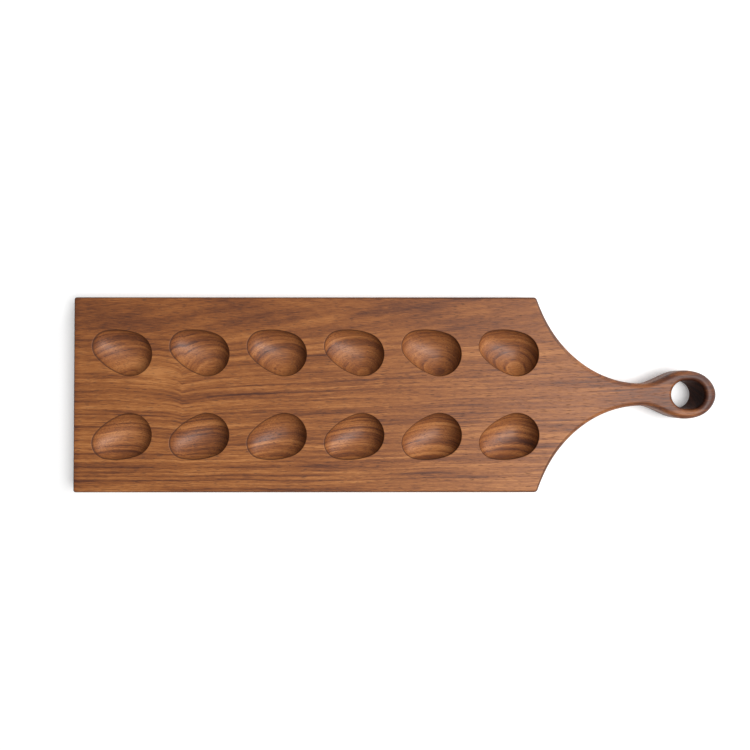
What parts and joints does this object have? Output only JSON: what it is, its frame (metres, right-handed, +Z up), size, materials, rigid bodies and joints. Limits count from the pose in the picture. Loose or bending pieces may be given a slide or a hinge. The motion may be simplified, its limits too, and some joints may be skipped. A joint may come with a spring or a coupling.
{
  "type": "egg serving board",
  "caption": "Flat wooden serving board with rows of egg-shaped wells, hollow swept shoulders, a slim neck and a ring handle to hang it by.",
  "frame": {"origin": "centre of the bounding box, on the flat underside that rests on the table", "axes": "+X along the board towards the ring handle, +Y across the board, +Z up out of the face with the wells"},
  "size_m": [0.645, 0.1954, 0.026],
  "materials": {
    "walnut": "oiled walnut, satin, with straight to gently arched figure along the board and fine dark pores"
  },
  "bodies": {
    "root": {"board": "walnut"}
  },
  "joints": []
}
